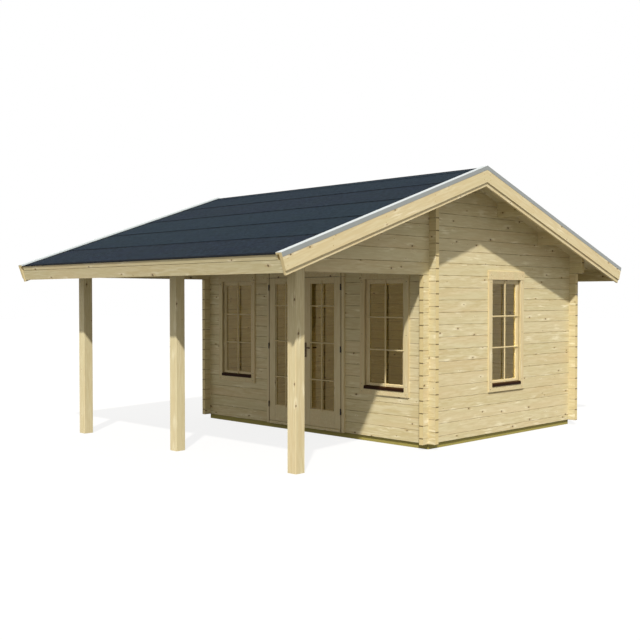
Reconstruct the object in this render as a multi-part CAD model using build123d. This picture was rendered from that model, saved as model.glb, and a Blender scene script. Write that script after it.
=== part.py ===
from build123d import *
import math
import os

os.makedirs("parts", exist_ok=True)

# A small log cabin with a double door, three fixed windows and a deep veranda under one saddle roof.
# Millimetres. X runs along the ridge, the door wall faces -Y, Z is up.
# The origin is on the ground, under the middle of the ridge.

# Wall logs
wall_length = 4010.0
cabin_depth = 3110.0
log_thickness = 58.0
log_height = 142.0
log_groove = 4.0
log_end_reach = 97.0
corbel_reach = 190.0
notch_share = 0.25
log_gap = 0.4
notch_gap = 0.3
smallest_offcut = 60.0

corbel_courses = 2

# Base and floor
base_height = 64.0
base_width = 70.0
base_inset = 28.0
joist_width = 45.0
joist_count = 5
floor_thickness = 19.0
floor_edge_gap = 6.0

# Roof
roof_slope = 18.9
back_wall_height = 2216.0
front_overhang = 595.0
back_overhang = 551.0
gable_overhang = 443.0
roof_board = 19.0
felt_sheet = 3.0
felt_lanes = 5
felt_eave_drip = 8.0
ridge_strip_width = 150.0
cap_upstand = 20.0
purlin_width = 58.0
purlin_height = 165.0
purlin_place_shares = (0.273, 0.564)
ridge_purlin_height = 190.0

# Verge and eave boards
cap_sheet = 2.0
cap_face = 44.0
barge_board = 15.0
barge_height = 175.0
verge_board = 25.0
verge_height = 218.0
batten_width = 38.0
fascia_board = 19.0
fascia_height = 178.0
fascia_strip_height = 52.0
fascia_joint = 5.0
fascia_setback = 12.0

# Veranda
veranda_depth = 2072.0
post_width = 122.0
post_bevel = 4.0
canopy_beam_height = 145.0

# Double door
leaf_width = 652.0
leaf_height = 1878.0
leaf_thickness = 45.0
leaf_stile = 115.0
leaf_top_rail = 70.0
leaf_bottom_rail = 207.0
leaf_gap = 5.0
meeting_gap = 6.0
jamb_width = 45.0
lintel_least_height = 50.0
jamb_proud = 26.0
stop_width = 12.0
stop_depth = 20.0
threshold_height = 33.0
threshold_nose = 10.0
door_pane = 5.0
pane_bite = 8.0

# Door hinges and handle
hinge_radius = 7.5
hinge_pin_radius = 4.0
hinge_pin_gap = 0.08
hinge_axis_out = 8.0
hinge_half_height = 38.0
hinge_flap_width = 10.0
hinge_flap_sheet = 2.2
hinge_place_shares = (0.115, 0.525, 0.934)
hinge_rest_gap = 0.3
handle_plate_width = 38.0
handle_plate_height = 187.0
handle_plate_sheet = 7.0
handle_plate_bevel = 6.0
handle_plate_rise = 864.0
handle_edge_offset = 30.0
handle_neck_width = 18.0
handle_neck_length = 38.0
handle_lever_length = 112.0
handle_lever_height = 18.0
handle_lever_depth = 12.0
handle_lever_bevel = 4.0
handle_lever_rise = 121.0
key_hole_width = 6.0
key_hole_height = 18.0
key_hole_rise = 48.0

# Windows
window_width = 620.0
window_height = 1290.0
window_bottom = 655.0
window_jamb = 35.0
front_window_place_share = 0.515
gable_window_place_share = 0.492
sash_setback = 17.0
sash_depth = 40.0
sash_rail = 43.0
window_pane = 4.0
casing_width = 69.0
casing_sheet = 18.0
casing_head_height = 108.0
casing_head_ear = 8.0
casing_head_sheet = 22.0
casing_head_bevel = 6.0
casing_foot_height = 63.0
sill_height = 42.0
sill_nose = 9.0
sill_fall = 10.0

# Clearances
seat_gap = 0.3
overrun = 50.0

# Planes and places that follow from the sizes above
slope = math.radians(roof_slope)
roof_half_span = (front_overhang + veranda_depth + cabin_depth + back_overhang) / 2
wall_half = wall_length / 2
wall_inner = wall_half - log_thickness
back_outer = roof_half_span - back_overhang
back_inner = back_outer - log_thickness
front_outer = back_outer - cabin_depth
front_inner = front_outer + log_thickness
post_front = front_outer - veranda_depth
post_back = post_front + post_width
verge_face = wall_half + gable_overhang
barge_face = verge_face - cap_sheet - seat_gap
verge_board_face = barge_face - barge_board - seat_gap
verge_board_back = verge_board_face - verge_board
roof_half_length = verge_board_back - seat_gap
batten_inner = roof_half_length - batten_width
felt_half_length = batten_inner - seat_gap
slope_length = roof_half_span / math.cos(slope)
board_top = cap_upstand
board_bottom = board_top + roof_board
underside = board_bottom + seat_gap
ridge_height = base_height + back_wall_height + back_outer * math.tan(slope) + underside / math.cos(slope)
leaf_face = front_outer - jamb_proud
leaf_bottom = base_height + seat_gap + threshold_height + leaf_gap
leaf_top = leaf_bottom + leaf_height
leaf_inner_x = meeting_gap / 2
leaf_outer_x = leaf_inner_x + leaf_width
jamb_inner = leaf_outer_x + leaf_gap
jamb_outer = jamb_inner + jamb_width
hinge_x = leaf_outer_x + leaf_gap / 2
hinge_y = leaf_face - hinge_axis_out
door_courses = math.ceil((leaf_top + leaf_gap + lintel_least_height - base_height) / log_height)
door_head = base_height + door_courses * log_height
gable_lower_courses = door_courses - 1
back_courses = math.ceil(back_wall_height / log_height)
hinge_heights = [leaf_bottom + share * leaf_height for share in hinge_place_shares]
handle_plate_bottom = leaf_bottom + handle_plate_rise
front_window_place = jamb_outer + front_window_place_share * (wall_inner - jamb_outer)
gable_window_y = front_outer + gable_window_place_share * cabin_depth


def block(x0, x1, y0, y1, z0, z1):
    """A box between two limits on each axis."""
    centre = ((x0 + x1) / 2, (y0 + y1) / 2, (z0 + z1) / 2)
    return Pos(*centre) * Box(abs(x1 - x0), abs(y1 - y0), abs(z1 - z0))


def along_x(outline, x0, x1):
    """A prism along X with an outline of (y, z) points."""
    points = [(x0, y, z) for y, z in outline]
    return extrude(make_face(Polyline(*points, close=True)), x1 - x0, dir=(1, 0, 0))


def along_y(outline, y0, y1):
    """A prism along Y with an outline of (x, z) points."""
    points = [(x, y0, z) for x, z in outline]
    return extrude(make_face(Polyline(*points, close=True)), y1 - y0, dir=(0, 1, 0))


def along_z(outline, z0, z1):
    """A prism along Z with an outline of (x, y) points."""
    points = [(x, y, z0) for x, y in outline]
    return extrude(make_face(Polyline(*points, close=True)), z1 - z0, dir=(0, 0, 1))


def bevelled(a0, a1, b0, b1, bevel):
    """The outline of a rectangle with its four corners cut off."""
    return [
        (a0 + bevel, b0), (a1 - bevel, b0), (a1, b0 + bevel), (a1, b1 - bevel),
        (a1 - bevel, b1), (a0 + bevel, b1), (a0, b1 - bevel), (a0, b0 + bevel),
    ]


def solids_of(shape):
    """The separate solids of a cut log, without scraps too short to be built in."""
    kept = []
    for solid in shape.solids():
        box = solid.bounding_box()
        if max(box.size.X, box.size.Y) > smallest_offcut:
            kept.append(solid)
    return kept


def write(node, solids):
    """One file for each node, with its solids side by side."""
    pieces = []
    for solid in solids:
        pieces.extend(solid.solids())
    export_step(Compound(children=pieces) if len(pieces) > 1 else pieces[0], f"parts/{node}.step")


def mirrored(solids):
    """The same solids on the other side of the ridge's middle."""
    return [mirror(solid, about=Plane.YZ) for solid in solids]


# Roof geometry: a point is given by its way down the slope and its depth below the verge cap
def on_slope(side, way, depth):
    y = way * math.cos(slope) - depth * math.sin(slope)
    z = ridge_height - way * math.sin(slope) - depth * math.cos(slope)
    return (side * y, z)


def way_at_ridge(depth):
    """Where a plane at this depth meets the upright cut beside the ridge line."""
    return depth * math.tan(slope) + seat_gap / 2 / math.cos(slope)


def roof_height(y, depth):
    """Height of the plane at this depth, over a place in Y."""
    return ridge_height - abs(y) * math.tan(slope) - depth / math.cos(slope)


def slope_outline(side, depth0, depth1, way_end):
    """A layer of the roof, cut upright at the ridge and square at the eave."""
    return [
        on_slope(side, way_at_ridge(depth0), depth0),
        on_slope(side, way_end, depth0),
        on_slope(side, way_end, depth1),
        on_slope(side, way_at_ridge(depth1), depth1),
    ]


def slope_layer(side, depth0, depth1, way_end, x0, x1):
    return along_x(slope_outline(side, depth0, depth1, way_end), x0, x1)


def under_roof():
    """Everything below the roof boards, which trims the top logs to the slope."""
    reach = roof_half_span + overrun
    outline = [
        (-reach, -overrun), (reach, -overrun), (reach, roof_height(reach, underside)),
        (0, roof_height(0, underside)), (-reach, roof_height(reach, underside)),
    ]
    return along_x(outline, -verge_face - overrun, verge_face + overrun)


# Purlins: they lie along X through both gables and carry the roof boards
purlin_places = [share * roof_half_span for share in purlin_place_shares]


def purlin_bottom(y):
    if y == 0:
        return roof_height(0, underside) - ridge_purlin_height
    return roof_height(y, underside) - purlin_height


def purlin(y):
    low = purlin_bottom(y)
    y0 = y - purlin_width / 2
    y1 = y + purlin_width / 2
    outline = [(y0, low), (y1, low), (y1, roof_height(y1, underside))]
    if y == 0:
        outline.append((0, roof_height(0, underside)))
    outline.append((y0, roof_height(y0, underside)))
    return along_x(outline, -roof_half_length, roof_half_length)


def purlin_pocket(y):
    """The slot that the gable logs leave for a purlin."""
    half = purlin_width / 2 + notch_gap
    low = purlin_bottom(y) - seat_gap
    return block(-verge_face, verge_face, y - half, y + half, low, ridge_height)


every_purlin = [0.0] + purlin_places + [-place for place in purlin_places]
roof_trim = under_roof()


# Logs: bevelled bars, notched from above and below where two walls cross
def notches(a0, a1, low, lying_on_x):
    """The two cuts that leave a neck of half the log's height at a crossing."""
    top = low + log_height - log_gap
    cuts = []
    limits = (
        (low - overrun, low + notch_share * log_height),
        (top - notch_share * log_height, top + overrun),
    )
    for z0, z1 in limits:
        if lying_on_x:
            cuts.append(block(a0, a1, -roof_half_span, roof_half_span, z0, z1))
        else:
            cuts.append(block(-verge_face, verge_face, a0, a1, z0, z1))
    return cuts


def log_section(outer, inner, low, height):
    """The outline of a log: bevelled on its outer edges, square on the room side."""
    high = low + height - log_gap
    bevel = math.copysign(log_groove, inner - outer)
    return [
        (inner, low), (inner, high), (outer + bevel, high),
        (outer, high - log_groove), (outer, low + log_groove), (outer + bevel, low),
    ]


def log_on_x(x0, x1, outer, inner, low):
    return along_x(log_section(outer, inner, low, log_height), x0, x1)


def log_on_y(y0, y1, low, height):
    return along_y(log_section(wall_half, wall_inner, low, height), y0, y1)


def crossing_gables(low):
    """Notches in a front or back log at both gable walls."""
    cuts = []
    for x0, x1 in ((wall_inner, wall_half), (-wall_half, -wall_inner)):
        cuts += notches(x0 - notch_gap, x1 + notch_gap, low, True)
    return cuts


def crossing_long_walls(low):
    """Notches in a gable log at the front and back walls."""
    cuts = []
    for y0, y1 in ((front_outer, front_inner), (back_inner, back_outer)):
        cuts += notches(y0 - notch_gap, y1 + notch_gap, low, False)
    return cuts


def window_hole(x, y, on_front):
    """The hole that the logs leave for one window frame."""
    half = window_width / 2 + window_jamb + seat_gap
    low = window_bottom - window_jamb - seat_gap
    high = window_bottom + window_height + window_jamb + seat_gap
    deep = log_thickness + overrun
    if on_front:
        return block(x - half, x + half, y - deep, y + deep, low, high)
    return block(x - deep, x + deep, y - half, y + half, low, high)


def front_course(course):
    return base_height + course * log_height


def gable_course(course):
    return base_height + (course + 0.5) * log_height


def front_wall_side():
    """The logs on the right of the doorway, from the bottom log to the door head."""
    hole = window_hole(front_window_place, front_outer, True)
    logs = []
    for course in range(door_courses):
        low = front_course(course)
        log = log_on_x(jamb_outer + seat_gap, wall_half + log_end_reach, front_outer, front_inner, low)
        logs += solids_of(log - crossing_gables(low) - hole)
    return logs


def long_wall_logs(outer, inner, first, reach_of, holes):
    """Whole logs from one course up to the roof, with the top one cut to the slope."""
    logs = []
    course = first
    highest = max(roof_height(outer, underside), roof_height(inner, underside))
    while front_course(course) < highest - log_groove:
        low = front_course(course)
        reach = wall_half + reach_of(course)
        log = log_on_x(-reach, reach, outer, inner, low) - crossing_gables(low) - holes
        logs += solids_of(log & roof_trim)
        course += 1
    return logs


def gable_lower(holes):
    """A gable's logs below the veranda's side, drawn on the right, starting with a half log."""
    y0 = front_outer - log_end_reach
    y1 = back_outer + log_end_reach
    logs = []
    half_log = log_on_y(y0, y1, base_height, log_height / 2)
    logs += solids_of(half_log - crossing_long_walls(gable_course(-1)))
    for course in range(gable_lower_courses):
        low = gable_course(course)
        log = log_on_y(y0, y1, low, log_height)
        logs += solids_of(log - crossing_long_walls(low) - holes)
    return logs


def gable_upper(holes):
    """A gable's long logs, which run on over the veranda to the post and up to the ridge."""
    cuts = [purlin_pocket(y) for y in every_purlin] + holes
    logs = []
    course = gable_lower_courses
    while gable_course(course) < roof_height(0, underside) - log_groove:
        low = gable_course(course)
        log = log_on_y(post_back + seat_gap, back_outer + log_end_reach, low, log_height)
        log = log - crossing_long_walls(low) - cuts
        logs += solids_of(log & roof_trim)
        course += 1
    return logs


def wall_reach(course):
    return log_end_reach


def back_wall_reach(course):
    """The top logs of the back wall reach out further, as corbels under the eave."""
    return corbel_reach if course >= back_courses - corbel_courses else log_end_reach


# Base and floor
def foundation_beams():
    x1 = wall_half - base_inset
    y0 = front_outer + base_inset
    y1 = back_outer - base_inset
    beams = [
        block(-x1, x1, y0, y0 + base_width, 0, base_height - seat_gap),
        block(-x1, x1, y1 - base_width, y1, 0, base_height - seat_gap),
    ]
    inner0 = y0 + base_width + seat_gap
    inner1 = y1 - base_width - seat_gap
    for side in (-1, 1):
        beams.append(block(side * x1, side * (x1 - base_width), inner0, inner1, 0, base_height - seat_gap))
    pitch = 2 * (x1 - base_width) / (joist_count + 1)
    for number in range(joist_count):
        x = -x1 + base_width + (number + 1) * pitch
        half = joist_width / 2
        beams.append(block(x - half, x + half, inner0, inner1, 0, base_height - seat_gap))
    return beams


def floor():
    x1 = wall_inner - floor_edge_gap
    y0 = front_inner + floor_edge_gap
    y1 = back_inner - floor_edge_gap
    return [block(-x1, x1, y0, y1, base_height, base_height + floor_thickness)]


# Veranda posts and the beam on top of them
def canopy_beam_bottom():
    return roof_height((post_front + post_back) / 2, underside) - canopy_beam_height


def post(x):
    half = post_width / 2
    outline = bevelled(x - half, x + half, post_front, post_back, post_bevel)
    return [along_z(outline, 0, canopy_beam_bottom() - seat_gap)]


def canopy_beam():
    low = canopy_beam_bottom()
    outline = [
        (post_front, low), (post_back, low),
        (post_back, roof_height(post_back, underside)),
        (post_front, roof_height(post_front, underside)),
    ]
    return [along_x(outline, -roof_half_length, roof_half_length)]


# Roof layers
fascia_way = slope_length - fascia_setback
board_way = fascia_way - fascia_board - seat_gap


def roof_boards(side):
    return [slope_layer(side, board_top, board_bottom, board_way, -roof_half_length, roof_half_length)]


def felt_depth(way, lane_length):
    """Top of the felt: each lane rises towards its lower edge, where it laps over the next one."""
    return board_top - felt_sheet - felt_sheet * way / lane_length


def felt(side):
    start = way_at_ridge(board_top)
    end = fascia_way + felt_eave_drip
    lane = (end - start) / felt_lanes
    bottom = board_top - seat_gap
    outline = [on_slope(side, way_at_ridge(bottom), bottom)]
    first = way_at_ridge(felt_depth(0, lane))
    for number in range(felt_lanes):
        upper = first if number == 0 else start + number * lane
        outline.append(on_slope(side, upper, felt_depth(0, lane)))
        outline.append(on_slope(side, start + (number + 1) * lane, felt_depth(lane, lane)))
    outline.append(on_slope(side, end, bottom))
    return [along_x(outline, -felt_half_length, felt_half_length)]


def ridge_strip():
    """A folded strip of felt over the ridge."""
    lane = (fascia_way + felt_eave_drip - way_at_ridge(board_top)) / felt_lanes
    low_top = felt_depth(0, lane) - seat_gap
    low_edge = felt_depth(ridge_strip_width, lane) - seat_gap
    outline = [
        on_slope(1, low_top * math.tan(slope), low_top),
        on_slope(1, ridge_strip_width, low_edge),
        on_slope(1, ridge_strip_width, low_edge - felt_sheet),
        (0, roof_height(0, low_top - felt_sheet)),
        on_slope(-1, ridge_strip_width, low_edge - felt_sheet),
        on_slope(-1, ridge_strip_width, low_edge),
    ]
    reach = felt_half_length - cap_sheet - seat_gap
    return [along_x(outline, -reach, reach)]


# Verge: an outer barge board, a deeper board behind it, a batten on the roof boards and a metal cap over all
def barge_boards():
    top = cap_sheet + seat_gap
    return [slope_layer(side, top, barge_height, slope_length, barge_face - barge_board, barge_face)
            for side in (-1, 1)]


def verge_boards():
    top = cap_sheet + seat_gap
    boards = []
    for side in (-1, 1):
        boards.append(slope_layer(side, top, verge_height, slope_length, verge_board_back, verge_board_face))
        low = board_top - seat_gap
        boards.append(slope_layer(side, top, low, slope_length, batten_inner, roof_half_length))
    return boards


def verge_caps():
    inner = felt_half_length - cap_sheet
    leg = board_top - felt_sheet - felt_sheet - seat_gap
    caps = []
    for side in (-1, 1):
        top = slope_layer(side, 0, cap_sheet, slope_length, inner, verge_face)
        face = slope_layer(side, 0, cap_face, slope_length, verge_face - cap_sheet, verge_face)
        upstand = slope_layer(side, 0, leg, slope_length, inner, inner + cap_sheet)
        caps.append(top + face + upstand)
    return caps


def eave_fascia(side):
    """Two boards on the ends of the roof boards: a narrow strip between the battens over a wider one."""
    way0 = fascia_way - fascia_board
    strip_end = board_top + fascia_strip_height
    boards = []
    limits = (
        (board_top, strip_end, batten_inner),
        (strip_end + fascia_joint, board_top + fascia_height, roof_half_length),
    )
    for depth0, depth1, reach in limits:
        outline = [
            on_slope(side, way0, depth0), on_slope(side, fascia_way, depth0),
            on_slope(side, fascia_way, depth1), on_slope(side, way0, depth1),
        ]
        boards.append(along_x(outline, -reach, reach))
    return boards


# Door frame, leaves and furniture
def door_frame():
    y0 = leaf_face
    y_stop = leaf_face + leaf_thickness + leaf_gap
    y1 = y_stop + stop_depth
    jamb = [
        (jamb_inner, y0), (jamb_outer, y0), (jamb_outer, y1),
        (jamb_inner - stop_width, y1), (jamb_inner - stop_width, y_stop), (jamb_inner, y_stop),
    ]
    right = along_z(jamb, base_height + seat_gap, door_head - log_gap)
    low = leaf_top + leaf_gap
    head = [
        (y0, low), (y_stop, low), (y_stop, low - stop_width), (y1, low - stop_width),
        (y1, door_head - log_gap), (y0, door_head - log_gap),
    ]
    half = jamb_inner - seat_gap
    lintel = along_x(head, -half, half) - block(half - stop_width, half, y0, y1, low, low - stop_width)
    lintel -= block(stop_width - half, -half, y0, y1, low, low - stop_width)
    return [right, mirror(right, about=Plane.YZ), lintel]


def threshold():
    half = jamb_inner - stop_width - seat_gap
    low = base_height + seat_gap
    y1 = leaf_face + leaf_thickness + leaf_gap + stop_depth
    outline = [
        (leaf_face - threshold_nose, low), (y1, low), (y1, low + threshold_height),
        (leaf_face, low + threshold_height), (leaf_face - threshold_nose, low + threshold_height - threshold_nose),
    ]
    return [along_x(outline, -half, half)]


def pane_limits():
    return (leaf_inner_x + leaf_stile, leaf_outer_x - leaf_stile,
            leaf_bottom + leaf_bottom_rail, leaf_top - leaf_top_rail)


def door_leaf():
    """Two stiles and two rails in one glazed leaf, with a rebate that holds the pane."""
    x0, x1, z0, z1 = pane_limits()
    middle = leaf_face + leaf_thickness / 2
    half = door_pane / 2 + seat_gap
    bite = pane_bite + seat_gap
    leaf = block(leaf_inner_x, leaf_outer_x, leaf_face, leaf_face + leaf_thickness, leaf_bottom, leaf_top)
    leaf -= block(x0, x1, leaf_face - overrun, leaf_face + leaf_thickness + overrun, z0, z1)
    leaf -= block(x0 - bite, x1 + bite, middle - half, middle + half, z0 - bite, z1 + bite)
    return [leaf]


def door_glass():
    x0, x1, z0, z1 = pane_limits()
    middle = leaf_face + leaf_thickness / 2
    half = door_pane / 2
    bite = pane_bite
    return [block(x0 - bite, x1 + bite, middle - half, middle + half, z0 - bite, z1 + bite)]


def hinge_half(flap_end, low):
    """A barrel on the hinge line with a flap that lies on the wood."""
    barrel = Pos(hinge_x, hinge_y, low + hinge_half_height / 2) * Cylinder(hinge_radius, hinge_half_height)
    flap_out = leaf_face - seat_gap
    flap = block(hinge_x, flap_end, flap_out - hinge_flap_sheet, flap_out, low, low + hinge_half_height)
    return barrel + flap


def fixed_hinge(height):
    """The lower half on the jamb, with the pin that carries the leaf."""
    half = hinge_half(hinge_x + hinge_flap_width, height - hinge_half_height)
    pin = Pos(hinge_x, hinge_y, height) * Cylinder(hinge_pin_radius, 2 * hinge_half_height)
    return half + pin


def leaf_hinge(height):
    """The upper half on the leaf, bored for the pin."""
    half = hinge_half(hinge_x - hinge_flap_width, height + hinge_rest_gap)
    bore = Pos(hinge_x, hinge_y, height) * Cylinder(hinge_pin_radius + hinge_pin_gap, 2 * overrun)
    return half - bore


def handle_side(face, outward):
    """A lever on its back plate, on one face of the leaf."""
    x = leaf_inner_x + handle_edge_offset
    y0 = face + outward * seat_gap
    y1 = y0 + outward * handle_plate_sheet
    half = handle_plate_width / 2
    z0 = handle_plate_bottom
    plate = block(x - half, x + half, y0, y1, z0, z0 + handle_plate_height)
    plate = chamfer(plate.edges().filter_by(Axis.Y), handle_plate_bevel)
    key_half = key_hole_width / 2
    key_low = z0 + key_hole_rise - key_hole_height / 2
    key = block(x - key_half, x + key_half, y0 - overrun, y1 + overrun, key_low, key_low + key_hole_height)
    lever_z = z0 + handle_lever_rise
    tip = y1 + outward * handle_neck_length
    neck_half = handle_neck_width / 2
    lever_half = handle_lever_height / 2
    neck = block(x - neck_half, x + neck_half, y1, tip, lever_z - neck_half, lever_z + neck_half)
    neck = chamfer(neck.edges().filter_by(Axis.Y), handle_lever_bevel)
    lever = block(x - neck_half, x + handle_lever_length, tip, tip - outward * handle_lever_depth,
                  lever_z - lever_half, lever_z + lever_half)
    lever = chamfer(lever.edges().filter_by(Axis.X), handle_lever_bevel)
    return plate - key + neck + lever


def door_handle():
    return [handle_side(leaf_face, -1), handle_side(leaf_face + leaf_thickness, 1)]


# Windows: drawn for a wall that faces -Y at the origin, then placed
def window_ring(width, height, bottom, rail, y0, y1):
    half = width / 2
    ring = block(-half - rail, half + rail, y0, y1, bottom - rail, bottom + height + rail)
    return ring - block(-half, half, y0 - overrun, y1 + overrun, bottom, bottom + height)


def window_frame():
    """The box frame in the logs, and the sash that stands back in it with its pane groove."""
    frame = window_ring(window_width, window_height, window_bottom, window_jamb, 0, log_thickness)
    clear_width = window_width - 2 * sash_rail - 2 * seat_gap
    clear_height = window_height - 2 * sash_rail - 2 * seat_gap
    bottom = window_bottom + sash_rail + seat_gap
    sash = window_ring(clear_width, clear_height, bottom, sash_rail, sash_setback, sash_setback + sash_depth)
    half_x = clear_width / 2 + pane_bite + seat_gap
    bite = pane_bite + seat_gap
    middle = sash_setback + sash_depth / 2
    half = window_pane / 2 + seat_gap
    sash -= block(-half_x, half_x, middle - half, middle + half, bottom - bite, bottom + clear_height + bite)
    return [frame, sash]


def window_glass():
    half_x = window_width / 2 - sash_rail - seat_gap + pane_bite
    z0 = window_bottom + sash_rail + seat_gap - pane_bite
    z1 = window_bottom + window_height - sash_rail - seat_gap + pane_bite
    middle = sash_setback + sash_depth / 2
    half = window_pane / 2
    return [block(-half_x, half_x, middle - half, middle + half, z0, z1)]


def window_casing():
    """Side boards on a foot board, under a head board with a bevelled top."""
    inner = window_width / 2
    outer = inner + casing_width
    top = window_bottom + window_height
    foot_top = window_bottom - sill_height / 2
    foot = block(-outer, outer, -seat_gap - casing_sheet, -seat_gap, foot_top - casing_foot_height, foot_top)
    side = block(inner, outer, -seat_gap - casing_sheet, -seat_gap, foot_top + seat_gap, top)
    front = -seat_gap - casing_head_sheet
    low = top + seat_gap
    high = low + casing_head_height
    head = along_x([
        (front, low), (-seat_gap, low), (-seat_gap, high),
        (front + casing_head_bevel, high), (front, high - casing_head_bevel),
    ], -outer - casing_head_ear, outer + casing_head_ear)
    return [foot, side, mirror(side, about=Plane.YZ), head]


def window_sill():
    """A dark drip board between the side boards, falling outwards."""
    half = window_width / 2 - seat_gap
    low = window_bottom - sill_height / 2 + seat_gap
    front = -casing_sheet - sill_nose
    high = low + sill_height
    back = sash_setback - seat_gap
    seat = window_bottom + seat_gap
    outline = [
        (front, low), (-seat_gap, low), (-seat_gap, seat), (back, seat), (back, high),
        (front + sill_nose, high - sill_fall / 2), (front, high - sill_fall),
    ]
    return [along_x(outline, -half, half)]


def in_each_window(solids):
    """Copies for the two front windows and the one in the right gable."""
    places = [
        Pos(-front_window_place, front_outer, 0),
        Pos(front_window_place, front_outer, 0),
        Pos(wall_half, gable_window_y, 0) * Rot(0, 0, 90),
    ]
    return [place * solid for place in places for solid in solids]


front_holes = [window_hole(side * front_window_place, front_outer, True) for side in (-1, 1)]
gable_holes = [window_hole(wall_half, gable_window_y, False)]
right_side = front_wall_side()
right_barges = barge_boards()
right_verges = verge_boards()
right_caps = verge_caps()
right_leaf = door_leaf()
right_glass = door_glass()
right_hinges = [leaf_hinge(height) for height in hinge_heights]
right_fixed_hinges = [fixed_hinge(height) for height in hinge_heights]
post_place = wall_half - post_width / 2

write("foundation_beams", foundation_beams())
write("floor", floor())
write("front_wall_right", right_side)
write("front_wall_left", mirrored(right_side))
write("front_wall_upper", long_wall_logs(front_outer, front_inner, door_courses, wall_reach, front_holes))
write("back_wall", long_wall_logs(back_outer, back_inner, 0, back_wall_reach, []))
write("right_gable_lower", gable_lower(gable_holes))
write("right_gable_upper", gable_upper(gable_holes))
write("left_gable_lower", mirrored(gable_lower([])))
write("left_gable_upper", mirrored(gable_upper([])))
write("left_post", post(-post_place))
write("middle_post", post(0))
write("right_post", post(post_place))
write("canopy_beam", canopy_beam())
write("ridge_purlin", [purlin(0.0)])
write("front_purlins", [purlin(-place) for place in purlin_places])
write("back_purlins", [purlin(place) for place in purlin_places])
write("front_roof_boards", roof_boards(-1))
write("back_roof_boards", roof_boards(1))
write("front_felt", felt(-1))
write("back_felt", felt(1))
write("ridge_felt", ridge_strip())
write("right_barge_boards", right_barges)
write("left_barge_boards", mirrored(right_barges))
write("right_verge_boards", right_verges)
write("left_verge_boards", mirrored(right_verges))
write("right_verge_caps", right_caps)
write("left_verge_caps", mirrored(right_caps))
write("front_fascia", eave_fascia(-1))
write("back_fascia", eave_fascia(1))
write("door_frame", door_frame())
write("threshold", threshold())
write("right_door_leaf", right_leaf)
write("left_door_leaf", mirrored(right_leaf))
write("right_door_glass", right_glass)
write("left_door_glass", mirrored(right_glass))
write("right_door_hinges", right_hinges)
write("left_door_hinges", mirrored(right_hinges))
write("fixed_hinges", right_fixed_hinges + mirrored(right_fixed_hinges))
write("door_handle", door_handle())
write("window_frames", in_each_window(window_frame()))
write("window_panes", in_each_window(window_glass()))
write("window_casings", in_each_window(window_casing()))
write("window_sills", in_each_window(window_sill()))
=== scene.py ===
import math

import bmesh
import bpy
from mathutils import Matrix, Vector


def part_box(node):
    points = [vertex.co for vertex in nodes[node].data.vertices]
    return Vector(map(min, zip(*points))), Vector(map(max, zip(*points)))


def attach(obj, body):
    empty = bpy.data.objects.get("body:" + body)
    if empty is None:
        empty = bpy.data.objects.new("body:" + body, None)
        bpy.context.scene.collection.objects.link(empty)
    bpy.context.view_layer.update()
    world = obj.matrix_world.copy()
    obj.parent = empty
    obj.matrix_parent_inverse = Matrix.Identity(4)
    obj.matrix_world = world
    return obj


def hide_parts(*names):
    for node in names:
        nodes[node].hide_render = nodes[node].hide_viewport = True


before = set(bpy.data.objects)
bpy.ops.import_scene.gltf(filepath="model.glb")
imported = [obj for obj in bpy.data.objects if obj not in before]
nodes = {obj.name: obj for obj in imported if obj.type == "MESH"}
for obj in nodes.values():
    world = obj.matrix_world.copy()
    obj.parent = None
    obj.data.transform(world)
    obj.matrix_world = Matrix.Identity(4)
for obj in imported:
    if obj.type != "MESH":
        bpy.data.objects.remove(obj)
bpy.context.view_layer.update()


def centre(name):
    """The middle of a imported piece's box."""
    low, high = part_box(name)
    return (low + high) / 2


# Sizes of the cabin, in metres
roof_slope = math.radians(18.9)
ridge_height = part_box("right_verge_caps")[1].z
log_height = 0.142
log_joint = 0.004
end_joint = 0.0075
base_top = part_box("front_wall_right")[0].z
wall_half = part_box("right_gable_lower")[1].x
wall_middle = centre("right_gable_lower").x
front_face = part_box("front_wall_right")[0].y
front_middle = centre("front_wall_right").y
back_middle = centre("back_wall").y
post_spacing = centre("right_post").x
post_middle_y = centre("right_post").y

# Roof covering: felt lanes down the slope, boards under them
felt_lane_start = 0.00685
felt_lane = 0.6667
felt_lap_bead_and_shade = 0.045
felt_edge_shade = 0.062
felt_ridge_shade = 0.045
felt_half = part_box("front_felt")[1].x
felt_reach = abs(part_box("front_felt")[0].y) / math.cos(roof_slope)
felt_chip = 0.007
roof_board_width = 0.096
roof_board_sheet = 0.019
floor_board_width = 0.095
board_joint = 0.0008
board_bevel = 0.0035
ridge_gap = 0.0002

# Windows: glass between the sash rails
pane_bite = 0.008
panes_low, panes_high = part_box("window_panes")
window_glass_half = 0.2667
window_front_x = -panes_low.x - window_glass_half - pane_bite
window_gable_y = panes_high.y - window_glass_half - pane_bite
window_glass_low = panes_low.z + pane_bite
window_glass_high = panes_high.z - pane_bite
window_stile_middle = 1.300
window_stile_half = 0.602
window_pane_back = 0.0370
window_pane_sheet = 0.0040
window_bar_heights = (1.109, 1.495)
sash_face = -0.017
sash_rail = 0.043
sash_bar_lap = 0.030
casing_inner = 0.310
casing_outer = 0.379
casing_low = 0.634
casing_high = 1.945
casing_middle = (casing_low + casing_high) / 2
casing_face = 0.0183
casing_head_face = 0.0223
casing_head_middle = 1.999
casing_foot_middle = 0.6035

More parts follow.
